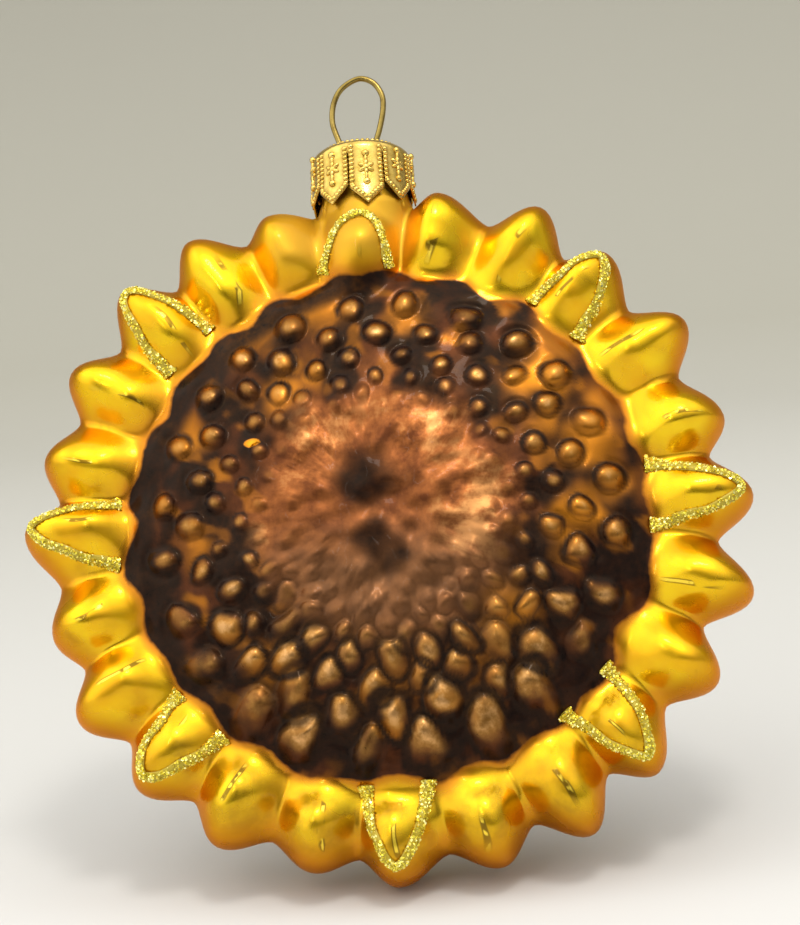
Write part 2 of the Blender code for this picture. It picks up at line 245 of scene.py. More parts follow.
def neck_radius(z):
    return NECK_RADIUS + NECK_FLARE * np.exp(-np.maximum(z - NECK_FOOT, 0.0) / 1.2)


def edge_radius(angle):
    """Distance from the middle to the glass's edge, neck included, at angles in degrees from the neck."""
    from_neck = np.radians(np.abs((angle + 180.0) % 360.0 - 180.0))
    heights = np.linspace(NECK_TOP, NECK_FOOT - 2.0, 200)
    turns = np.arctan2(neck_radius(heights), heights)
    neck = np.interp(from_neck, turns, heights) / np.maximum(np.cos(from_neck), 0.2)
    return np.maximum(outline_radius(angle), np.where(from_neck < turns[-1], neck, 0.0))


def dome_height(from_middle):
    share = np.clip(from_middle / DISC_RADIUS, 0.0, 1.0)
    dimple = DIMPLE_DEPTH * np.exp(-(from_middle / DIMPLE_RADIUS) ** 2)
    return DISC_RIM_HEIGHT + DOME_RISE * (1.0 - share ** 2) - dimple


def disc_distance(x, z):
    return np.hypot(x - DISC_CENTRE[0], z - DISC_CENTRE[1])


def body_height(x, z, side):
    """Height of the glass over the seam plane, without its seeds, with a blown form's small unevenness."""
    angle = np.degrees(np.arctan2(x, z)) % 360.0
    petal, phase = petal_phase(angle)
    to_edge = outline_radius(angle) - np.hypot(x, z)
    from_middle = disc_distance(x, z)
    crest = np.abs(np.cos(pi * phase / 2)) ** (2 * CREST_BREADTH)
    crest_growth = 0.35 + 0.65 * ease(from_middle, DISC_RADIUS, DISC_RADIUS + 5.0)
    petals = VALLEY_HEIGHT + CREST_RISE * crest * crest_growth
    petals += uneven(x, z, PETAL_WAVES, 11 + side) + uneven(x, z, PETAL_RIPPLES, 21 + side)
    in_petals = ease(from_middle, DISC_RADIUS - 2.0, DISC_RADIUS + 1.5)
    inner = 1.0 - ease(from_middle, 14.0, 21.0)
    lumps = (0.15 + 0.2 * inner) * wobble(x, z, 5.0, 33 + side)
    lumps += 0.17 * inner * wobble(x, z, 2.8, 35 + side)
    disc = dome_height(from_middle) + uneven(x, z, DISC_WAVES, 31 + side) + lumps
    height = (1.0 - in_petals) * disc + in_petals * petals
    inward = 1.0 - np.clip(to_edge / EDGE_ROUNDING, 0.0, 1.0)
    body = height * np.sqrt(1.0 - inward ** 2)
    neck = np.sqrt(np.maximum(neck_radius(z) ** 2 - x ** 2, 0.0)) * ease(z, 36.0, 45.0)
    across = (x - EGG_CENTRE[0]) / EGG_HALF_SIZES[0]
    upward = (z - EGG_CENTRE[1]) / EGG_HALF_SIZES[1]
    egg = EGG_HEIGHT * np.sqrt(np.maximum(1.0 - across ** 2 - upward ** 2, 0.0))
    return (body ** 5 + neck ** 5 + egg ** 5) ** 0.2


def seed_list(side):
    """Each seed's place, size, rise, stretch, outward angle, depth of shade and lowness."""
    draw = np.random.default_rng(40 + side)
    turn = FRONT_RING_TURN if side == FRONT else BACK_RING_TURN
    seeds = []
    for ring, (fading, regain) in enumerate(zip(SEED_FADING, LOW_SEED_REGAIN)):
        radius = OUTER_RING_RADIUS * RING_RATIO ** ring
        for number in range(PETALS):
            angle = turn + PETAL_STEP * (number + 0.5 * ring) + draw.normal(0, 0.9)
            lowness = float(ease(-cos(radians(angle)), 0.1, 0.9))
            x, z = polar(radius * (1 + draw.normal(0, 0.012) + 0.02 * lowness), angle)
            relief = fading + regain * lowness
            size = SEED_RADIUS_SHARE * radius * draw.uniform(0.84, 1.08) * (1 + LOW_SEED_GROWTH * lowness)
            rise = SEED_RISE_SHARE * radius * relief * draw.uniform(0.75, 1.25)
            rise *= 1 + LOW_SEED_LIFT * lowness
            stretch = 1.0 + lowness * draw.uniform(-0.1, 0.45) + draw.uniform(0, 0.1)
            shade = draw.uniform(0.55, 1.0) * min(1.0, relief + 0.1)
            seeds.append((x + DISC_CENTRE[0], z + DISC_CENTRE[1], size, rise, stretch,
                          radians(angle), shade, lowness))
    return seeds


def pushed_about(x, z, side):
    """The points shifted a little, more so low down, where the mould gave uneven seeds."""
    low = ease(-z, 0.0, 18.0)
    coarse, fine = 0.22 + 0.35 * low, 0.07 * low
    return (x + coarse * wobble(x, z, 5.5, 91 + side) + fine * wobble(x, z, 2.4, 97 + side),
            z + coarse * wobble(x, z, 5.5, 93 + side) + fine * wobble(x, z, 2.4, 99 + side))


def seed_relief(x, z, side):
    """Height that the seeds add, and how much of a seed's top, with painted light, and of its dark groove,
    with painted shade, is at each point.
    """
    x, z = pushed_about(x, z, side)
    rise_all = np.zeros_like(x)
    crown_and_highlight_all = np.zeros_like(x)
    crevice_all = np.zeros_like(x)
    for seed_x, seed_z, size, rise, stretch, outward, shade, lowness in seed_list(side):
        reach = 2.6 * size
        near = np.nonzero((np.abs(x - seed_x) < reach) & (np.abs(z - seed_z) < reach))[0]
        dx, dz = x[near] - seed_x, z[near] - seed_z
        along = (dx * sin(outward) + dz * cos(outward)) / stretch
        across = dx * cos(outward) - dz * sin(outward)
        away = np.hypot(along, across) / size
        dome = np.maximum(1.0 - away ** 2, 0.0) ** (0.6 + 0.35 * lowness)
        groove = np.exp(-((away - 1.2) / 0.2) ** 2)
        rise_all[near] = np.maximum(rise_all[near], rise * dome) - 0.16 * rise * groove
        # Painted light: on the low seeds the light top shifts to the upper side, where the light falls.
        upper = np.clip(dz / size, -1, 1)
        top, blur = 0.48 + 0.12 * lowness, 0.22 * lowness
        painted = away - 0.42 * lowness * upper
        crown_and_highlight = ease(-painted, -top - 0.38 - blur, -top + 0.3 + blur) * (0.4 + 0.6 * shade ** 2)
        crown_and_highlight_all[near] = np.maximum(crown_and_highlight_all[near], crown_and_highlight)
        # Painted shade: a dark ring in the groove round each seed, heavier on the upper side of the upper
        # seeds.
        above = 0.72 + 0.28 * upper * (1 - lowness)
        ring = np.minimum(1.0, 1.5 * shade * above) * np.exp(-((away - 0.97 - 0.1 * lowness) / 0.36) ** 2)
        crevice_all[near] = np.maximum(crevice_all[near], ring)
    return rise_all, crown_and_highlight_all, crevice_all


def deselect_all():
    if bpy.context.object and bpy.context.object.mode != "OBJECT":
        set_mode("OBJECT")
    bpy.ops.object.select_all(action="DESELECT")


def select_only(objects):
    deselect_all()
    for obj in objects:
        obj.select_set(True)
    bpy.context.view_layer.objects.active = objects[0]


def set_mode(mode):
    bpy.ops.object.mode_set(mode=mode)


def select_where(obj, kind, test):
    """Goes to edit mode with just the faces or edges selected that pass a test."""
    set_mode("EDIT")
    bpy.ops.mesh.select_mode(type=kind)
    bpy.ops.mesh.select_all(action="DESELECT")
    set_mode("OBJECT")
    for part in obj.data.polygons if kind == "FACE" else obj.data.edges:
        part.select = bool(test(part))
    set_mode("EDIT")


def weld(gap=MERGE_GAP):
    """Merges doubled points and turns the faces outwards, in edit mode."""
    bpy.ops.mesh.select_all(action="SELECT")
    bpy.ops.mesh.remove_doubles(threshold=gap)
    bpy.ops.mesh.normals_make_consistent(inside=False)


def new_object(name, data):
    obj = bpy.data.objects.new(name, data)
    bpy.context.collection.objects.link(obj)
    return obj


def keep_number(obj, name, values):
    """Keeps a number for each point of the mesh, as an attribute that its material reads."""
    layer = obj.data.attributes.new(name, "FLOAT", "POINT")
    layer.data.foreach_set("value", values)


def dress(obj, material, smooth=True):
    obj.data.materials.clear()
    obj.data.materials.append(material)
    if smooth:
        obj.data.shade_smooth()


def points_of(obj):
    flat = np.empty(len(obj.data.vertices) * 3)
    obj.data.vertices.foreach_get("co", flat)
    return flat.reshape(-1, 3)


def set_points(obj, points):
    obj.data.vertices.foreach_set("co", np.ascontiguousarray(points).ravel())
    obj.data.update()


def grid(name, across, along):
    """A grid primitive, with each vertex's column and row numbers."""
    deselect_all()
    bpy.ops.mesh.primitive_grid_add(x_subdivisions=across, y_subdivisions=along, size=2.0)
    obj = bpy.context.object
    obj.name = name
    points = points_of(obj)
    column = np.rint((points[:, 0] + 1.0) / 2.0 * across).astype(int)
    row = np.rint((points[:, 1] + 1.0) / 2.0 * along).astype(int)
    return obj, column, row


def repeat_shape(name, template, matrices, shades):
    """One mesh from many placed copies of a small template, with a shade number for each copy."""
    points = points_of(template)
    faces = [tuple(face.vertices) for face in template.data.polygons]
    count = len(points)
    stack = np.array([np.array(matrix) for matrix in matrices])
    moved = np.einsum("nij,kj->nki", stack[:, :3, :3], points) + stack[:, None, :3, 3]
    mesh = bpy.data.meshes.new(name)
    every = [tuple(v + number * count for v in face) for number in range(len(matrices)) for face in faces]
    mesh.from_pydata(moved.reshape(-1, 3).tolist(), [], every)
    obj = new_object(name, mesh)
    keep_number(obj, "shade", np.repeat(np.asarray(shades, float), count))
    return obj


def join(name, objects):
    select_only(objects)
    bpy.ops.object.join()
    joined = bpy.context.object
    joined.name = name
    return joined


def apply_modifiers(obj):
    select_only([obj])
    for modifier in list(obj.modifiers):
        bpy.ops.object.modifier_apply(modifier=modifier.name)


# Glass

def column_angles():
    """Angles of the glass's mesh columns, from one side of the neck petal all the way round."""
    angles = list(np.linspace(-PETAL_STEP / 2, PETAL_STEP / 2, NECK_COLUMNS, endpoint=False))
    for petal in range(1, PETALS):
        for step in range(COLUMNS_A_PETAL):
            angles.append(petal_angle(petal, -1.0 + 2.0 * step / COLUMNS_A_PETAL))
    return np.array(angles + [360.0 - PETAL_STEP / 2])


def row_radii(row, edge, neck_share):
    """How far out each vertex's row lies: even rings in the disc, then rows that crowd at the seam."""
    inner = np.interp(row, (0, MIDDLE_ROWS, MIDDLE_ROWS + SEED_ROWS), (0.0, MIDDLE_RADIUS, SEED_ZONE_RADIUS))
    rounding_start = edge - EDGE_ROUNDING * (1.0 - neck_share) - (edge - 39.5) * neck_share
    rim = (row - MIDDLE_ROWS - SEED_ROWS) / RIM_ROWS
    middle = SEED_ZONE_RADIUS + (rounding_start - SEED_ZONE_RADIUS) * np.clip(rim, 0, 1)
    turn = np.clip((row - MIDDLE_ROWS - SEED_ROWS - RIM_ROWS) / EDGE_ROWS, 0, 1)
    curved = np.sin(turn * pi / 2)
    outer = rounding_start + (edge - rounding_start) * (curved * (1 - neck_share) + turn * neck_share)
    return np.where(rim <= 0, inner, np.where(turn <= 0, middle, outer))


def glass_half(side):
    angles = column_angles()
    rows = MIDDLE_ROWS + SEED_ROWS + RIM_ROWS + EDGE_ROWS
    half, column, row = grid("glass_half", len(angles) - 1, rows)
    angle = angles[column]
    edge = edge_radius(angle)
    neck_share = ease(edge - outline_radius(angle), 0.0, 4.0)
    radius = row_radii(row, edge, neck_share)
    x, z = radius * np.sin(np.radians(angle)), radius * np.cos(np.radians(angle))
    height = body_height(x, z, side) + seed_relief(x, z, side)[0]
    on_neck = z >= NECK_TOP - 0.01
    height[(row == rows) & ~on_neck] = 0.0
    corner = (row == rows) & on_neck
    height[corner] = np.sqrt(np.maximum(NECK_RADIUS ** 2 - x[corner] ** 2, 0.0))
    set_points(half, np.c_[x, side * height, z - HOOK_TO_FLOWER] * MM)
    return half


def close_neck():
    """Turns the open end of the neck inwards, down and shut, as the wall of a glass tube."""
    bpy.ops.mesh.select_mode(type="EDGE")
    bpy.ops.mesh.select_non_manifold(extend=False, use_non_contiguous=False)
    bpy.ops.mesh.extrude_region()
    inside = (NECK_RADIUS - NECK_WALL) / NECK_RADIUS
    bpy.ops.transform.resize(value=(inside, inside, 1.0), center_override=place(0.0, 0.0, NECK_TOP))
    bpy.ops.mesh.extrude_region()
    bpy.ops.transform.translate(value=(0.0, 0.0, -NECK_DEPTH * MM))
    bpy.ops.mesh.edge_face_add()


def paint_glass(glass):
    """Keeps the paint's layout on the glass as attributes, painted shade, highlights and reflections among
    it: what is airbrushed where, and how thickly.
    """
    points = points_of(glass) / MM
    x, height, z = points[:, 0], points[:, 1], points[:, 2] + HOOK_TO_FLOWER
    layers = {}
    for side in (FRONT, BACK):
        mine = np.nonzero(height * side >= 0)[0]
        for name, value in face_paint(x[mine], z[mine], side).items():
            layers.setdefault(name, np.zeros(len(x)))[mine] = value
    for name, value in layers.items():
        keep_number(glass, name, value)


# Dabs on the seed head: x, z, radius and strength. Soot, amber and copper are airbrushed; the sheen dabs are
# painted highlights.
SOOT_DABS = ((-1.5, 3.6, 5.2, 0.95), (4, 3, 2.8, 0.5), (0.2, -4.8, 3.4, 1), (1.4, -7.6, 2.4, 0.85),
             (-32, 12, 7, 1), (-27, 21, 5.5, 0.9), (-33.5, 0, 4, 0.8), (-30, -11, 5, 0.9),
             (-18, -12, 4, 0.9), (-22, -21, 6.5, 1), (-8, -31, 5, 0.9), (8, -31, 6, 1), (23, -24, 7, 1),
             (20, -9.5, 6.5, 0.95), (27, -14, 5, 0.8), (19, 9.5, 4.5, 0.7), (14, 18, 6.5, 0.85),
             (9, 28, 6, 0.8), (15, 26, 5, 0.8), (-10, 25, 7, 0.7), (2, 22, 6, 0.6), (-20, 18, 6, 0.8),
             (-6, -17, 3.5, 0.7), (12, -15, 3.5, 0.8), (-14, -27, 4.5, 0.8), (16, 3, 3, 0.4),
             (-0.5, 33.5, 4, 1), (12, 32, 4, 1))
AMBER_DABS = ((23, 17, 4.5, 1), (26, 24, 4, 0.8), (29, 7, 4.5, 0.9), (27.5, -2, 3.5, 1), (24, -6, 2.5, 0.9),
              (-12, 16.5, 3.5, 0.9), (-17, 28, 5, 0.8), (2, -23, 4, 0.5), (12, -21, 4, 0.5),
              (-24, -3, 3, 0.6), (-7, 30, 5, 0.7), (5, 27, 3, 0.6), (-25, 12, 2.5, 0.7), (17, -15, 4, 0.9),
              (-16, -20, 3, 0.6), (-8, 19, 2.5, 0.7), (24, 11, 3.5, 0.7), (31.5, 1.5, 3.5, 0.8),
              (31, 14, 3, 0.7))
COPPER_DABS = ((7, 11, 8, 1), (-8, 9, 7.5, 0.9), (-13, -2, 7, 0.8), (13, 0, 7, 0.95), (10, -6, 7, 0.7),
               (2, 16, 6, 0.8), (-10, -10, 5, 0.5), (5, -17, 4, 0.5))
SHEEN_DABS = ((7.2, 11, 4.6, 0.8), (14, -3, 6.5, 0.95), (15.5, 3, 4.5, 0.8), (-7.5, 11, 4, 0.6),
             (-11, 7.5, 3.5, 0.6), (-16, -3, 3, 0.4))


def dab_cover(x, z, dabs, side):
    """How much the dabs cover at each point. The back has the same dabs turned half round."""
    cover = np.zeros_like(x)
    x, z = x + 0.9 * wobble(x, z, 5.0, 105 + side), z + 0.9 * wobble(x, z, 5.0, 109 + side)
    flip = 1.0 if side == FRONT else -1.0
    for dab_x, dab_z, radius, strength in dabs:
        away = np.hypot(x - flip * dab_x, z - flip * dab_z) / radius
        cover = np.maximum(cover, strength * np.exp(-away ** 2.4))
    return cover


def petal_paint(x, z, side, past_border):
    """The lacquers on the petals and the neck, with painted shade and painted reflections: how far each
    covers, and the way over each petal's crest.
    """
    angle = np.degrees(np.arctan2(x, z)) % 360.0
    turn = np.radians(angle)
    phase = petal_phase(angle)[1]
    from_middle, outward = disc_distance(x, z), np.hypot(x, z)
    # Painted shade: orange where each petal turns away at its edge and in its valleys; the orange beside the
    # brown and in drifts is the lacquer's own.
    edge = ease(outward - edge_radius(angle), -4.6, -0.4)
    valley = 0.3 * ease(np.abs(phase), 0.75, 1.0) * ease(from_middle, 36.0, 41.0)
    hazy = 2.6 + 3.4 * ease(z - x, 22.0, 44.0)
    halo = 0.85 * ease(-past_border, -hazy, 0.0)
    drift = 0.25 * ease(wobble(x, z, 6.0, 71 + side), 0.1, 1.0)
    # Painted reflection of the dark room: olive on each petal's lower right flank, less on the upper petals,
    # and over the lowest petals.
    flank = phase * (0.5 * np.cos(turn) + 0.85 * np.sin(turn))
    dark_reflection = ease(0.75 * flank + 0.6 * wobble(x, z, 5.0, 101 + side), 0.25, 1.15)
    dark_reflection = 0.85 * dark_reflection * (1.0 - 0.6 * ease(z, 5.0, 30.0)) + 0.95 * ease(-z, 20.0, 46.0)
    neck = ease(z, 35.0, 38.5) * ease(-np.abs(x + 3.0), -12.0, -8.0)
    on_petal = ease(from_middle, 37.0, 38.5) * ease(-from_middle, -46.5, -43.5)
    return {
        "orange_and_edge_shade": np.clip(edge + valley + halo + drift, 0, 1),
        "painted_dark_reflection": np.clip(dark_reflection, 0, 1) * ease(from_middle, 36.0, 39.0),
        "satin": neck,
        "crest": radians(PETAL_STEP / 2) * phase * outward,
        "ridge": ease(-np.abs(phase), -0.6, -0.3) * on_petal * (1.0 - neck),
    }


def disc_paint(x, z, side, border):
    """The lacquers on the seed head, with painted shade, highlights and reflections: how far each covers."""
    from_middle = disc_distance(x, z)
    crown_and_highlight, crevice = seed_relief(x, z, side)[1:]
    low = ease(-z, 2.0, 18.0)
    left = ease(-x + 0.4 * z, 5.0, 24.0)
    outside = ease(from_middle, 13.0, 20.0)
    patches = ease(wobble(x, z, 7.0, 61 + side) + 0.4 * wobble(x, z, 3.0, 63 + side), -0.7, 0.6)
    streaks = ease(wobble(x, z, 5.5, 81 + side) + 0.5 * wobble(x, z, 2.6, 83 + side), 0.35, 1.1)
    amber = np.maximum(dab_cover(x, z, AMBER_DABS, side), 0.5 * streaks * outside)
    sprayed = outside * (0.5 + 0.5 * patches) * (1.0 - 0.85 * amber)
    dabbed = dab_cover(x, z, SOOT_DABS, side) * (0.82 + 0.18 * patches)
    band = ease(from_middle, 31.5 - 3.5 * left, 34.0) * (0.38 + 0.62 * left)
    soot_and_shade = np.maximum(np.maximum(sprayed, dabbed), band)
    # Painted shade joins the black: dark rings in the seeds' grooves, and black in the gaps between the low
    # seeds.
    soot_and_shade = np.maximum(soot_and_shade * (1.0 - 0.94 * crown_and_highlight), crevice * (0.35 + 0.65 * outside))
    shaded_gaps = 0.72 * low * (1.0 - 0.45 * ease(from_middle, 31.0, 34.0))
    shaded_gaps = shaded_gaps * outside * (1 - crown_and_highlight) * (0.55 + 0.45 * patches) * (1 - 0.6 * amber)
    soot_and_shade = ease(np.clip(np.maximum(soot_and_shade, shaded_gaps), 0, 1), 0.12, 0.92)
    centre = np.maximum(dab_cover(x, z, COPPER_DABS, side), 0.75 * (1 - outside))
    ring = ease(from_middle, 4.0, 10.0) * ease(-from_middle, -26.0, -17.0)
    return {
        "soot_and_shade": soot_and_shade * ease(-from_middle, -border - 1.5, -border + 0.2),
        "crown_and_highlight": crown_and_highlight * outside,
        "amber": np.clip(amber, 0, 1),
        "copper": np.clip(centre, 0, 1),
        # Painted highlight: sheen where the light catches the copper dome.
        "painted_sheen": dab_cover(x, z, SHEEN_DABS, side),
        # Painted reflection of the pale floor: umber low on the middle of the dome.
        "floor_reflection": ease(-z, -1.0, 10.0) * ease(-from_middle, -25.0, -12.0),
        "brushed": ring * ease(wobble(x, z, 8.0, 95 + side), -0.5, 0.5),
    }


def face_paint(x, z, side):
    """All lacquers on one face, painted shade, highlights and reflections among them, and how far each point
    is outside the brown, in millimetres.
    """
    phase = petal_phase(np.degrees(np.arctan2(x, z)) % 360.0)[1]
    border = PAINTED_RADIUS - (0.55 * np.cos(pi * phase) + 0.7 * wobble(x, z, 9.0, 51 + side))
    past_border = disc_distance(x, z) - border
    bare_spot = 0.68 - np.hypot((x - side * 16.6) / 1.8, z + side * 10.0)
    return {"border": np.maximum(past_border, 3.0 * bare_spot),
            **petal_paint(x, z, side, past_border), **disc_paint(x, z, side, border)}


def make_glass():
    glass = join("glass_flower", [glass_half(FRONT), glass_half(BACK)])
    set_mode("EDIT")
    weld()
    close_neck()
    weld()
    set_mode("OBJECT")
    paint_glass(glass)
    dress(glass, lacquered_glass())
    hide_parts("glass_body")
    return glass


# Cap

def flared_radius(z):
    drop = max(0.0, (SLIT_TOP - z) / (SLIT_TOP - TONGUE_TIP))
    return CAP_RADIUS + TONGUE_FLARE * drop ** 2


def cap_profile(bottom):
    """Radius and height of points along the cap, from the middle of its top to a tongue's end."""
    wide, tall = CAP_SHOULDER
    flat = CAP_RADIUS - wide
    shoulder = [(flat + wide * sin(t), CAP_TOP - tall + tall * cos(t))
                for t in np.linspace(0.0, pi / 2, 9)]
    top = [(r, CAP_TOP + 0.1 * (1 - (r / flat) ** 2)) for r in (0.0, 1.5, 3.0, 4.5)]
    band = [(CAP_RADIUS, (CAP_TOP - tall + SLIT_TOP) / 2), (CAP_RADIUS, SLIT_TOP)]
    tongue = []
    for step in np.linspace(0.0, 1.0, TONGUE_ROWS + 1)[1:]:
        z = SLIT_TOP + (bottom - SLIT_TOP) * step
        tongue.append((flared_radius(z), z))
    return top + shoulder + band + tongue


def tongue_shape(number):
    """Turn of a tongue's middle in degrees, and the height of its point."""
    middle = TONGUE_TURN + 360.0 * number / TONGUES
    return middle, TONGUE_TIP + SIDE_TONGUE_LIFT * sin(radians(middle)) ** 2


def cap_point(turn, z):
    """A point on the outside of the cap's wall, and its outward direction."""
    radius = flared_radius(z)
    angle = radians(turn)
    out = Vector((sin(angle), -cos(angle), 0.0))
    return place(CAP_X + radius * out.x, radius * out.y, z), out


def cap_sheet():
    half_slit = degrees(SLIT_WIDTH / 2 / CAP_RADIUS)
    half_tongue = 180.0 / TONGUES - half_slit
    rows = len(cap_profile(0.0)) - 1
    sheet, column, row = grid("cap_sheet", TONGUES * (CAP_STEPS + 1), rows)
    tongue, step = np.divmod(column, CAP_STEPS + 1)
    points = np.empty((len(column), 3))
    for index in range(len(column)):
        share = step[index] / CAP_STEPS * 2.0 - 1.0
        middle, tip = tongue_shape(int(tongue[index]) % TONGUES)
        middle += 360.0 * (int(tongue[index]) // TONGUES)
        turn = radians(middle + half_tongue * share)
        radius, z = cap_profile(tip + TONGUE_POINT * abs(share))[row[index]]
        points[index] = place(CAP_X + radius * sin(turn), -radius * cos(turn), z)
    set_points(sheet, points)
    open_slits(sheet, column, row, rows - TONGUE_ROWS)
    return sheet


def open_slits(sheet, column, row, band_row):
    """Deletes the strips between the tongues below the band, then closes the seam and the middle."""
    def in_slit(face):
        columns = {column[v] % (CAP_STEPS + 1) for v in face.vertices}
        return min(row[v] for v in face.vertices) >= band_row and columns == {0, CAP_STEPS}

    select_where(sheet, "FACE", in_slit)
    bpy.ops.mesh.delete(type="FACE")
    weld()
    set_mode("OBJECT")


def bead_template():
    deselect_all()
    bpy.ops.mesh.primitive_uv_sphere_add(segments=8, ring_count=5, radius=1.0)
    return bpy.context.object


def stamped_marks():
    """Places of the beads and of each tongue's dot, star and dot, as scaled and turned copies of one bead."""
    marks = []
    degrees_a_mm = degrees(1.0 / CAP_RADIUS)

    def add(turn, z, size, tilt=0.0):
        wide, tall, rise = size
        point, out = cap_point(turn, z)
        upright = Matrix((out.cross((0, 0, -1)), out, (0, 0, 1))).transposed()
        spin = Matrix.Rotation(radians(tilt), 3, "Y")
        scale = Matrix.Diagonal((wide * MM, rise * MM, tall * MM))
        marks.append(Matrix.Translation(point) @ (upright @ spin @ scale).to_4x4())

    for number in range(TONGUES):
        middle, tip = tongue_shape(number)
        half = 180.0 / TONGUES - 0.46 * degrees_a_mm
        corner = tip + TONGUE_POINT
        star = tip + STAR_HEIGHT
        for side in (-1, 1):
            for z in np.arange(corner + 0.45, CAP_TOP - 1.2, EDGE_PITCH):
                add(middle + side * half, z, EDGE_BEAD)
            for share in np.linspace(0.12, 0.94, 5):
                add(middle + side * half * share, tip + 0.72 + (TONGUE_POINT - 0.45) * share, POINT_BEAD)
        for rise, size in ((2.15, DOT), (-2.2, DOT), (1.35, STEM), (-1.35, STEM), (0.0, STAR_MIDDLE)):
            add(middle, star + rise, size)
        for tilt in (0.0, 60.0, 120.0):
            for reach in (-STAR_REACH, STAR_REACH):
                lean = radians(tilt)
                across = reach * sin(lean) * degrees_a_mm
                add(middle + across, star + reach * cos(lean), STAR_RAY, tilt)
    ring = CAP_RADIUS - CAP_SHOULDER[0] + 0.2
    for number in range(RING_BEADS):
        angle = 2 * pi * number / RING_BEADS
        spot = place(CAP_X + ring * sin(angle), -ring * cos(angle), CAP_TOP + 0.02)
        marks.append(Matrix.Translation(spot) @ (Matrix.Diagonal(RING_BEAD) * MM).to_4x4())
    return marks


def keep_recess_shade(sheet, marks):
    """Keeps the brightness of the sheet as an attribute: painted shade darkens the sheet round the stamped
    marks.
    """
    points = points_of(sheet)
    nearest = np.full(len(points), 1.0)
    for mark in marks:
        nearest = np.minimum(nearest, np.linalg.norm(points - np.array(mark.translation), axis=1))
    keep_number(sheet, "shade", 1.0 - 0.85 * np.exp(-(nearest / (RECESS_SHADE_REACH * MM)) ** 2))


def make_cap():
    sheet = cap_sheet()
    thickness = sheet.modifiers.new("sheet", "SOLIDIFY")
    thickness.thickness = CAP_SHEET * MM
    thickness.offset = -1.0
    apply_modifiers(sheet)
    places = stamped_marks()
    keep_recess_shade(sheet, places)
    bead = bead_template()
    marks = repeat_shape("cap_marks", bead, places, np.ones(len(places)))
    bpy.data.objects.remove(bead)
    cap = join("stamped_cap", [sheet, marks])
    dress(cap, stamped_gold())
    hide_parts("cap")
    return cap


# Hanger

def smooth_route(points, steps):
    """A smooth curve that passes through every point of a route."""
    ends = [2 * Vector(points[0]) - Vector(points[1]), 2 * Vector(points[-1]) - Vector(points[-2])]
    knots = [ends[0], *map(Vector, points), ends[1]]
    curve = []
    for a, b, c, d in zip(knots, knots[1:], knots[2:], knots[3:]):
        for step in range(steps):
            t = step / steps
            curve.append(0.5 * (2 * b + (c - a) * t + (2 * a - 5 * b + 4 * c - d) * t ** 2
                                + (3 * b - a - 3 * c + d) * t ** 3))
    curve.append(knots[-2])
    return curve


def make_wire():
    curve = bpy.data.curves.new("hanger_loop", "CURVE")
    curve.dimensions = "3D"
    curve.bevel_depth = WIRE_RADIUS * MM
    curve.bevel_resolution = 5
    curve.use_fill_caps = True
    route = smooth_route(WIRE_ROUTE, WIRE_STEPS)
    spline = curve.splines.new("POLY")
    spline.points.add(len(route) - 1)
    for point, (x, z) in zip(spline.points, route):
        point.co = (*place(x, 0.0, z), 1.0)
    select_only([new_object("hanger_loop", curve)])
    bpy.ops.object.convert(target="MESH")
    wire = bpy.context.object
    dress(wire, drawn_brass())
    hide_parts("hanger_wire")
    return wire


# Glitter

def glitter_point(petal, across):
    """A flower point on a glitter line, from -1 at one foot over the petal's tip to 1 at the other."""
    outward = 1.0 - abs(across) ** GLITTER_BEND
    if petal == 0:
        outward = (1.0 - across ** 2) ** 0.8
        return (NECK_GLITTER_MIDDLE[0] + NECK_GLITTER_REACH[0] * across + NECK_GLITTER_LEAN * outward ** 2,
                NECK_GLITTER_MIDDLE[1] + NECK_GLITTER_REACH[1] * outward)
    apex = TIP_RADII[petal] - GLITTER_TIP_INSET
    return polar(GLITTER_FOOT + (apex - GLITTER_FOOT) * outward, petal_angle(petal, GLITTER_SPREAD * across))


def glitter_frames(petal, side, seed):
    """Middle, direction across, outward direction and width at each station of a glitter line."""
    share = np.linspace(-1.0, 1.0, GLITTER_STATIONS)
    flat = np.array([glitter_point(petal, sin(pi / 2 * s)) for s in share])
    x, z = flat[:, 0], flat[:, 1]
    x, z = x + 0.18 * wobble(x, z, 5.0, seed), z + 0.18 * wobble(x, z, 5.0, seed + 1)
    height = body_height(x, z, side)
    step = 0.05
    slope_x = (body_height(x + step, z, side) - body_height(x - step, z, side)) / (2 * step)
    slope_z = (body_height(x, z + step, side) - body_height(x, z - step, side)) / (2 * step)
    out = np.c_[-slope_x, np.full_like(x, side), -slope_z]
    out /= np.linalg.norm(out, axis=1)[:, None]
    middle = np.c_[x, side * height, z - HOOK_TO_FLOWER]
    along = np.gradient(middle, axis=0)
    across = np.cross(along, out)
    across /= np.linalg.norm(across, axis=1)[:, None]
    foot, thin = GLITTER_WIDTH
    thin = NECK_GLITTER_WIDTH if petal == 0 else thin
    width = thin + (foot - thin) * np.abs(share) ** 5
    width *= 1.0 + 0.16 * wobble(share * 20.0, share * 3.0, 6.0, seed + 2)
    inward = 1.0 - np.clip((1.0 - np.abs(share)) / 0.09, 0.02, 1.0)
    return middle, across, out, width * np.sqrt(1.0 - inward ** 2)


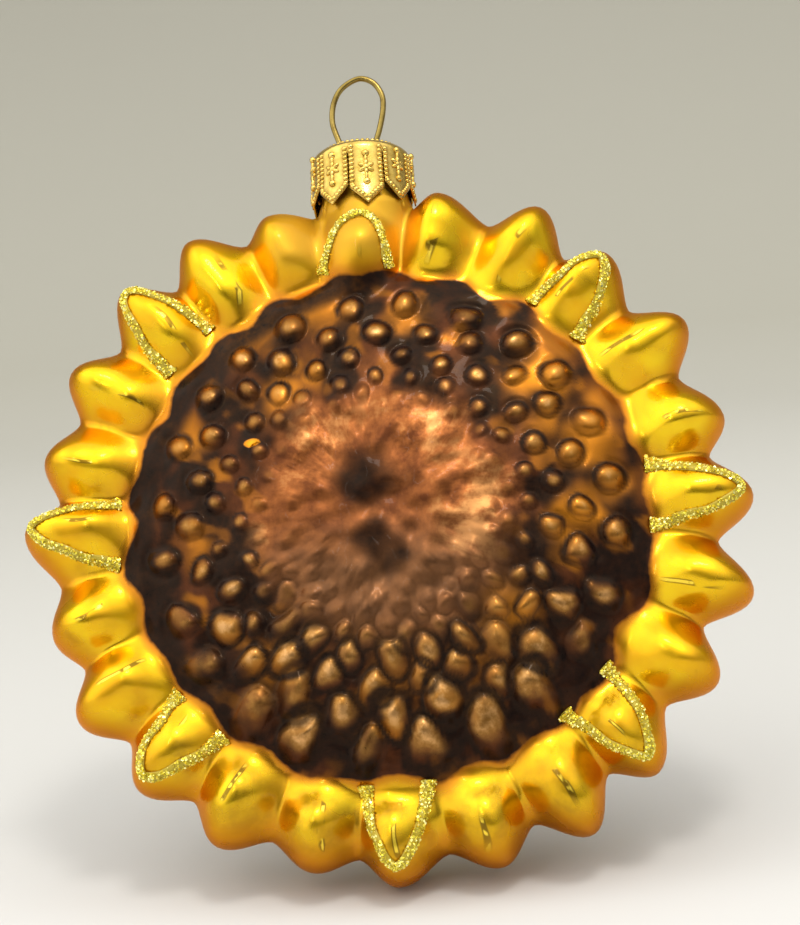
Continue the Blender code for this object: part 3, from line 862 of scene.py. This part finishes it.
def glue_line(name, frames):
    """The bead of glue under the glitter: a low round ribbon on the glass."""
    middle, across, out, width = frames
    turns = np.linspace(0.0, 2 * pi, 13)[:-1]
    reach = np.cos(turns)[None, :, None] * (width[:, None, None] / 2) * across[:, None, :]
    lift = np.sin(turns) * np.where(np.sin(turns) > 0, GLITTER_RISE * 0.8, 0.25)
    sag = 0.1 - 0.1 * np.cos(turns) ** 2
    rise = (lift + sag)[None, :, None] * out[:, None, :]
    tube, column, row = grid(name, len(turns), len(middle) - 1)
    points = (middle[:, None, :] + reach + rise)[row, column % len(turns)]
    set_points(tube, points * MM)
    set_mode("EDIT")
    bpy.ops.mesh.select_mode(type="EDGE")
    weld(MERGE_GAP / 10)
    bpy.ops.mesh.select_non_manifold(extend=False)
    bpy.ops.mesh.edge_face_add()
    weld(MERGE_GAP / 10)
    set_mode("OBJECT")
    keep_number(tube, "shade", np.zeros(len(tube.data.vertices)))
    return tube


def flake_template():
    deselect_all()
    bpy.ops.mesh.primitive_cylinder_add(vertices=6, radius=0.5, depth=FLAKE_DEPTH)
    return bpy.context.object


def scattered_flakes(name, frames, template, seed):
    middle, across, out, width = frames
    draw = np.random.default_rng(seed)
    station = draw.uniform(0, len(middle) - 1, FLAKES_A_LINE)
    low = station.astype(int)
    part = (station - low)[:, None]

    def between(values):
        return values[low] * (1 - part) + values[np.minimum(low + 1, len(middle) - 1)] * part

    spot, outward, wide = between(middle), between(out), between(width[:, None])
    reach = draw.uniform(-1, 1, FLAKES_A_LINE)
    aside = between(across) * reach[:, None]
    lift = GLITTER_RISE * 0.8 * np.sqrt(1 - 0.85 * reach ** 2) + draw.uniform(-0.05, 0.1, FLAKES_A_LINE)
    spots = (spot + aside * wide / 2 + outward * lift[:, None]) * MM
    facings = outward + aside * 0.7
    matrices = []
    for point, facing in zip(spots, facings):
        turned = Vector(facing + draw.normal(0, FLAKE_TILT, 3)).to_track_quat("Z", "Y").to_matrix().to_4x4()
        size = FLAKE_SIZE * draw.uniform(0.7, 1.25) * MM
        spin = Matrix.Rotation(draw.uniform(0, pi), 4, "Z")
        matrices.append(Matrix.Translation(Vector(point)) @ turned @ spin
                        @ Matrix.Diagonal((size, size, size, 1)))
    return repeat_shape(name, template, matrices, draw.uniform(0.15, 1.0, FLAKES_A_LINE))


def make_glitter(side, face, number, template, material):
    line_name = f"{face}_{number + 1}"
    seed = 100 * (side + 2) + number * 7
    frames = glitter_frames(number * PETALS // GLITTER_PETALS, side, seed)
    glue = glue_line(f"glue_{line_name}", frames)
    flakes = scattered_flakes(f"flakes_{line_name}", frames, template, seed + 3)
    line = join(f"glitter_{line_name}_line", [glue, flakes])
    dress(line, material, smooth=False)
    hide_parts(f"glitter_{line_name}")
    return line


# Materials

YELLOW = (0.86, 0.57, 0.012)
DEEP_YELLOW = (0.82, 0.44, 0.008)
HIGHLIGHT_YELLOW = (1.0, 0.72, 0.06)
REFLECTED_OLIVE = (0.42, 0.23, 0.010)
REFLECTED_DARK_OLIVE = (0.13, 0.075, 0.008)
OCHRE = (0.62, 0.34, 0.022)
ORANGE_AND_SHADE = (0.62, 0.26, 0.010)
TAN = (0.42, 0.13, 0.008)
RUSSET = (0.085, 0.026, 0.010)
AMBER = (0.52, 0.185, 0.013)
DARK_COPPER = (0.12, 0.036, 0.012)
COPPER = (0.34, 0.113, 0.031)
PALE_COPPER_AND_SHEEN = (0.72, 0.33, 0.108)
REFLECTED_UMBER = (0.15, 0.075, 0.034)
SEED_BRONZE = (0.25, 0.11, 0.026)
SEED_GOLD = (0.44, 0.22, 0.050)
SEED_HIGHLIGHT = (0.68, 0.37, 0.14)
SHADE_AND_SOOT_BLACK = (0.006, 0.004, 0.0045)
COAT_TINT = (1.0, 0.55, 0.15)
CAP_GOLD = (0.82, 0.58, 0.15)
WORN_GOLD = (0.54, 0.36, 0.062)
RECESS_SHADE = (0.20, 0.11, 0.02)
WIRE_BRASS = (0.33, 0.24, 0.065)
DULL_BRASS = (0.17, 0.115, 0.028)
GLITTER_COLOURS = ((0.0, (0.42, 0.32, 0.02)), (0.3, (0.62, 0.50, 0.04)),
                   (0.6, (0.92, 0.80, 0.10)), (1.0, (1.0, 0.95, 0.42)))
FLOOR_COLOURS = ((0.605, 0.605, 0.598), (0.635, 0.635, 0.628))
SHADED_WALL_COLOUR = (0.40, 0.39, 0.335)
CARD_COLOUR = (0.02, 0.02, 0.02)


def new_material(name):
    material = bpy.data.materials.new(name)
    material.use_nodes = True
    tree = material.node_tree
    return material, tree, tree.nodes["Principled BSDF"]


def feed(made, inputs):
    """Links a node's inputs, or sets plain numbers, vectors and colours on them."""
    for key, value in inputs.items():
        socket = made.inputs[key]
        if isinstance(value, bpy.types.NodeSocket):
            made.id_data.links.new(value, socket)
        else:
            socket.default_value = (*value, 1.0) if socket.type == "RGBA" else value


def node(tree, kind, inputs=None, **settings):
    made = tree.nodes.new(kind)
    for key, value in settings.items():
        setattr(made, key, value)
    feed(made, inputs or {})
    return made


def attribute(tree, name):
    return node(tree, "ShaderNodeAttribute", attribute_name=name).outputs["Fac"]


def on_object(tree):
    return node(tree, "ShaderNodeTexCoord").outputs["Object"]


def noise(tree, scale, detail=4.0, roughness=0.55, stretch=(1, 1, 1)):
    vector = node(tree, "ShaderNodeMapping", {"Vector": on_object(tree), "Scale": stretch}).outputs[0]
    return node(tree, "ShaderNodeTexNoise", {"Vector": vector, "Scale": scale, "Detail": detail,
                                             "Roughness": roughness}).outputs["Fac"]


def ramp(tree, source, stops):
    made = node(tree, "ShaderNodeValToRGB", {"Fac": source})
    while len(made.color_ramp.elements) < len(stops):
        made.color_ramp.elements.new(0.5)
    for element, (position, colour) in zip(made.color_ramp.elements, stops):
        element.position = position
        element.color = (*colour, 1.0)
    return made.outputs["Color"]


def span(tree, source, low, high, to_low=0.0, to_high=1.0, **settings):
    """Turns the range from low to high into another range, and holds it there."""
    return node(tree, "ShaderNodeMapRange", {"Value": source, "From Min": low, "From Max": high,
                                             "To Min": to_low, "To Max": to_high}, **settings).outputs[0]


def mix(tree, factor, first, second):
    """Mixes two colours, each a socket or a plain colour, by a socket."""
    return node(tree, "ShaderNodeMix", {0: factor, 6: first, 7: second}, data_type="RGBA").outputs[2]


def calculate(tree, operation, first, second):
    return node(tree, "ShaderNodeMath", {0: first, 1: second}, operation=operation).outputs[0]


def plus(tree, first, second):
    return calculate(tree, "ADD", first, second)


def times(tree, first, second):
    return calculate(tree, "MULTIPLY", first, second)


def bump(tree, height, strength, distance):
    return node(tree, "ShaderNodeBump", {"Height": height, "Strength": strength,
                                         "Distance": distance}).outputs["Normal"]


def brush_strokes(tree, fineness, length):
    """Noise drawn out along the lines that run from the middle of the seed head."""
    def vector(operation, inputs):
        return node(tree, "ShaderNodeVectorMath", inputs, operation=operation).outputs[0]

    middle = place(DISC_CENTRE[0], 0.0, DISC_CENTRE[1])
    from_middle = vector("SUBTRACT", {0: on_object(tree), 1: middle})
    flat = vector("MULTIPLY", {0: from_middle, 1: (1.0, 0.0, 1.0)})
    round_it = vector("SCALE", {0: vector("NORMALIZE", {0: flat}), "Scale": fineness})
    drawn_out = vector("ADD", {0: round_it, 1: vector("SCALE", {0: from_middle, "Scale": length})})
    return node(tree, "ShaderNodeTexNoise", {"Vector": drawn_out, "Scale": 1.0, "Detail": 5.0,
                                             "Roughness": 0.6, "Distortion": 0.8}).outputs["Fac"]


def painted_crest_reflections(tree, lacquer):
    """Painted reflections of strip lights along the petals' crests: a broken light line between two dark
    ones.
    """
    stray = span(tree, noise(tree, 70.0, 1.0), 0.3, 0.7, -1.6, 1.6)
    away = calculate(tree, "ABSOLUTE", plus(tree, attribute(tree, "crest"), stray), 0.0)
    broken = span(tree, noise(tree, 230.0, 1.0), 0.5, 0.54)
    here = times(tree, broken, attribute(tree, "ridge"))
    dark = times(tree, span(tree, away, 0.26, 0.42, 0.8, 0.0), here)
    short = span(tree, noise(tree, 560.0, 1.0), 0.47, 0.53)
    light = times(tree, span(tree, away, 0.14, 0.24, 1.0, 0.0), times(tree, here, short))
    return mix(tree, light, mix(tree, dark, lacquer, REFLECTED_DARK_OLIVE), HIGHLIGHT_YELLOW)


def petal_colour(tree, mottled, past_border):
    """Yellow lacquer, olive painted reflection on the lower flanks and low petals, orange with painted shade
    at the edges and valleys, tan next to the brown.
    """
    clouds = span(tree, noise(tree, 260.0, 4.0, 0.6), 0.4, 0.66)
    dark_reflection = times(tree, attribute(tree, "painted_dark_reflection"), span(tree, clouds, 0.0, 1.0, 0.35, 0.95))
    yellow = mix(tree, dark_reflection, mix(tree, mottled, YELLOW, DEEP_YELLOW), REFLECTED_OLIVE)
    edged = mix(tree, attribute(tree, "orange_and_edge_shade"), yellow, ORANGE_AND_SHADE)
    satin = mix(tree, attribute(tree, "satin"), edged, OCHRE)
    fringe = span(tree, past_border, 0.0, 1.5, 0.85, 0.0)
    return mix(tree, fringe, painted_crest_reflections(tree, satin), TAN)


def disc_colour(tree, fine):
    """Russet and amber ground, the brushed copper centre with painted sheen, umber painted floor reflection
    low down, the seeds' light tops with painted highlights, and soot with painted shade over it.
    """
    strokes = span(tree, brush_strokes(tree, 10.0, 420.0), 0.3, 0.7)
    blotches = span(tree, noise(tree, 280.0, 4.0, 0.62), 0.37, 0.65)
    ground = mix(tree, attribute(tree, "amber"), mix(tree, fine, RUSSET, DARK_COPPER), AMBER)
    stroked = times(tree, strokes, times(tree, attribute(tree, "brushed"), 0.36))
    mottling = plus(tree, times(tree, blotches, 0.7), stroked)
    # Painted highlight: the sheen dabs lift the copper towards its palest.
    mottling_and_sheen = times(tree, mottling, span(tree, attribute(tree, "painted_sheen"), 0.0, 1.0, 0.6, 1.5))
    centre = ramp(tree, mottling_and_sheen, ((0.0, DARK_COPPER), (0.45, COPPER), (1.0, PALE_COPPER_AND_SHEEN)))
    metal = mix(tree, attribute(tree, "copper"), ground, centre)
    floor_reflected = mix(tree, times(tree, attribute(tree, "floor_reflection"), 0.7), metal, REFLECTED_UMBER)
    flecks = span(tree, noise(tree, 520.0, 3.0, 0.6), 0.38, 0.62, 0.55, 1.0)
    crown_and_highlight = times(tree, attribute(tree, "crown_and_highlight"), flecks)
    # Painted highlight: the middle of each seed's light top is the palest.
    seed_tops = ramp(tree, crown_and_highlight, ((0.0, SEED_BRONZE), (0.55, SEED_GOLD), (1.0, SEED_HIGHLIGHT)))
    grain = times(tree, attribute(tree, "soot_and_shade"), span(tree, fine, 0.0, 1.0, 1.0, 0.9))
    return mix(tree, grain, mix(tree, crown_and_highlight, floor_reflected, seed_tops), SHADE_AND_SOOT_BLACK)


def lacquered_glass():
    material, tree, shader = new_material("lacquered_glass")
    mottled = span(tree, noise(tree, 130.0, 3.0), 0.35, 0.65)
    fine = span(tree, noise(tree, 800.0, 4.0, 0.65), 0.32, 0.68)
    spray = span(tree, noise(tree, 420.0, 2.0, 0.5), 0.3, 0.7, -0.17, 0.17)
    past_border = plus(tree, attribute(tree, "border"), spray)
    in_brown = span(tree, past_border, -0.15, 0.3, 1.0, 0.0)
    satin, copper = attribute(tree, "satin"), attribute(tree, "copper")
    rough_petals = plus(tree, span(tree, mottled, 0.0, 1.0, 0.22, 0.35), times(tree, satin, 0.2))
    rough_disc = plus(tree, span(tree, fine, 0.0, 1.0, 0.27, 0.4), times(tree, copper, 0.14))
    rough = node(tree, "ShaderNodeMix", {0: in_brown, 2: rough_petals, 3: rough_disc}, data_type="FLOAT")
    sooted_and_shaded = times(tree, attribute(tree, "soot_and_shade"), in_brown)
    ripple = plus(tree, noise(tree, 240.0, 2.0), times(tree, noise(tree, 1400.0, 3.0), 0.2))
    feed(shader, {
        "Base Color": mix(tree, in_brown, petal_colour(tree, mottled, past_border), disc_colour(tree, fine)),
        "Roughness": rough.outputs[0],
        "Metallic": span(tree, sooted_and_shaded, 0.0, 1.0, 0.96, 0.2),
        "Coat Weight": span(tree, in_brown, 0.0, 1.0, 0.16, 0.05),
        "Coat Roughness": 0.04,
        "Specular IOR Level": 0.12,
        "Specular Tint": COAT_TINT,
        "Normal": bump(tree, ripple, 0.14, 0.0003),
    })
    return material


def stamped_gold():
    material, tree, shader = new_material("stamped_gold_sheet")
    worn = span(tree, noise(tree, 700.0, 5.0, 0.6), 0.35, 0.7)
    gold = mix(tree, worn, CAP_GOLD, WORN_GOLD)
    # Painted shade: the sheet darkens round the stamped marks.
    feed(shader, {"Base Color": mix(tree, attribute(tree, "shade"), RECESS_SHADE, gold), "Metallic": 1.0,
                  "Roughness": span(tree, worn, 0.0, 1.0, 0.16, 0.32),
                  "Normal": bump(tree, noise(tree, 1600.0), 0.35, 0.0001)})
    return material


def drawn_brass():
    material, tree, shader = new_material("drawn_brass_wire")
    tarnish = span(tree, noise(tree, 500.0), 0.35, 0.7)
    feed(shader, {"Base Color": mix(tree, tarnish, WIRE_BRASS, DULL_BRASS), "Metallic": 1.0,
                  "Roughness": span(tree, tarnish, 0.0, 1.0, 0.17, 0.32),
                  "Normal": bump(tree, noise(tree, 2500.0, 3.0, 0.5, (1, 1, 0.15)), 0.2, 0.00005)})
    return material


def gold_glitter():
    material, tree, shader = new_material("gold_glitter")
    shade = attribute(tree, "shade")
    feed(shader, {"Base Color": ramp(tree, shade, GLITTER_COLOURS),
                  "Roughness": span(tree, shade, 0.0, 1.0, 0.5, 0.22),
                  "Metallic": span(tree, shade, 0.0, 0.2, 0.2, 1.0),
                  "Normal": bump(tree, noise(tree, 3000.0, 2.0), 0.3, 0.00005)})
    return material


def pale_floor():
    material, tree, shader = new_material("pale_floor")
    height = node(tree, "ShaderNodeSeparateXYZ", {0: on_object(tree)}).outputs[2]
    floor = mix(tree, noise(tree, 3.0, 2.0), *FLOOR_COLOURS)
    # Painted shade: darker from the floor up the wall behind.
    feed(shader, {"Base Color": mix(tree, span(tree, height, -0.12, 0.12), floor, SHADED_WALL_COLOUR),
                  "Roughness": 0.75})
    return material


# Studio

def floor_frame(glass):
    """The tilted floor's axes, and a point of it level with the glass's lowest petal."""
    tilt = radians(FLOOR_TILT)
    back = Vector((0.0, cos(tilt), sin(tilt)))
    up = Vector((0.0, -sin(tilt), cos(tilt)))
    lowest = float((points_of(glass) @ np.array(up)).min())
    return back, up, up * (lowest - 0.0003)


def make_floor(glass):
    """A pale floor that sweeps up behind into a wall."""
    back, up, foot = floor_frame(glass)
    deselect_all()
    bpy.ops.mesh.primitive_plane_add(size=2.0)
    floor = bpy.context.object
    floor.name = "studio_floor"
    set_points(floor, points_of(floor) * (*FLOOR_HALF_SIZE, 0.0) + (0.0, FLOOR_SHIFT, 0.0))

    def at_back(edge):
        ends = [floor.data.vertices[v].co for v in edge.vertices]
        return all(end.y > FLOOR_BACK and end.z < WALL_HEIGHT / 2 for end in ends)

    select_where(floor, "EDGE", at_back)
    bpy.ops.mesh.extrude_region_move(TRANSFORM_OT_translate={"value": (0.0, 0.0, WALL_HEIGHT)})
    select_where(floor, "EDGE", at_back)
    bpy.ops.mesh.bevel(offset=SWEEP, segments=16)
    set_mode("OBJECT")
    turn = Matrix((Vector((1, 0, 0)), back, up)).transposed()
    set_points(floor, points_of(floor) @ np.array(turn).T + np.array(foot))
    dress(floor, pale_floor())


def add_area_light(name, where, aim, size, power, colour):
    light = bpy.data.lights.new(name, "AREA")
    light.shape = "RECTANGLE"
    light.size, light.size_y = size
    light.energy = power
    light.color = colour
    lamp = new_object(name, light)
    lamp.location = where
    lamp.rotation_euler = (Vector(aim) - Vector(where)).to_track_quat("-Z", "Y").to_euler()


def make_world():
    """A soft room: light from above and from the left, dimmer low down on the right."""
    world = bpy.data.worlds.new("studio")
    bpy.context.scene.world = world
    world.use_nodes = True
    tree = world.node_tree
    heading = node(tree, "ShaderNodeTexCoord").outputs["Generated"]
    total = ROOM_GLOW
    for direction, reach, strength in ROOM_LIGHTS:
        facing = node(tree, "ShaderNodeVectorMath", {0: heading, 1: Vector(direction).normalized()},
                      operation="DOT_PRODUCT").outputs["Value"]
        glow = span(tree, facing, cos(radians(reach)), 1.0, 0.0, strength, interpolation_type="SMOOTHSTEP")
        total = plus(tree, total, glow)
    feed(tree.nodes["Background"], {"Strength": total, "Color": (1.0, 0.985, 0.95)})


def add_card(name, where, aim, size):
    """A dark card that only reflections see."""
    deselect_all()
    turn = (Vector(aim) - Vector(where)).to_track_quat("Z", "Y").to_matrix().to_4x4()
    bpy.ops.mesh.primitive_plane_add(size=1.0)
    card = bpy.context.object
    card.name = name
    card.data.transform(Matrix.Translation(Vector(where)) @ turn @ Matrix.Diagonal((*size, 1.0, 1.0)))
    card.visible_camera = card.visible_diffuse = card.visible_shadow = False
    material, _, shader = new_material(name)
    feed(shader, {"Base Color": CARD_COLOUR})
    card.data.materials.append(material)


def make_studio():
    middle = place(0.0, 0.0, 0.0)
    make_world()
    add_card("dark_card", (0.02, -0.30, -0.11), middle, (0.028, 0.08))
    add_area_light("left_strip", (-0.10, -0.42, 0.02), middle, (0.012, 0.16), 0.10, (1.0, 0.97, 0.9))
    add_area_light("top_lamp", (0.12, -0.55, 0.45), middle, (0.15, 0.15), 1.6, (1.0, 0.96, 0.9))
    bpy.context.scene.view_settings.view_transform = "Standard"


def make_camera():
    elevation, azimuth, roll = (radians(a) for a in (CAMERA_ELEVATION, CAMERA_AZIMUTH, CAMERA_ROLL))
    back = Vector((sin(azimuth) * cos(elevation), -cos(azimuth) * cos(elevation), sin(elevation)))
    right = (-back).cross(Vector((0, 0, 1))).normalized()
    up = right.cross(-back)
    rolled_right = cos(roll) * right + sin(roll) * up
    rolled_up = -sin(roll) * right + cos(roll) * up
    data = bpy.data.cameras.new("camera")
    data.lens = CAMERA_LENS
    data.sensor_width = 36.0
    data.clip_start = 0.01
    camera = new_object("camera", data)
    camera.location = place(CAMERA_TARGET[0], 0.0, CAMERA_TARGET[1]) + back * CAMERA_DISTANCE * MM
    camera.rotation_euler = Matrix((rolled_right, rolled_up, back)).transposed().to_euler()
    bpy.context.scene.camera = camera


def main():
    deselect_all()
    pieces = [make_glass(), make_cap(), make_wire()]
    template = flake_template()
    material = gold_glitter()
    for side, face in ((FRONT, "front"), (BACK, "back")):
        for number in range(GLITTER_PETALS):
            pieces.append(make_glitter(side, face, number, template, material))
    bpy.data.objects.remove(template)
    for piece in pieces:
        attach(piece, "root")
    make_floor(pieces[0])
    make_studio()
    make_camera()


main()
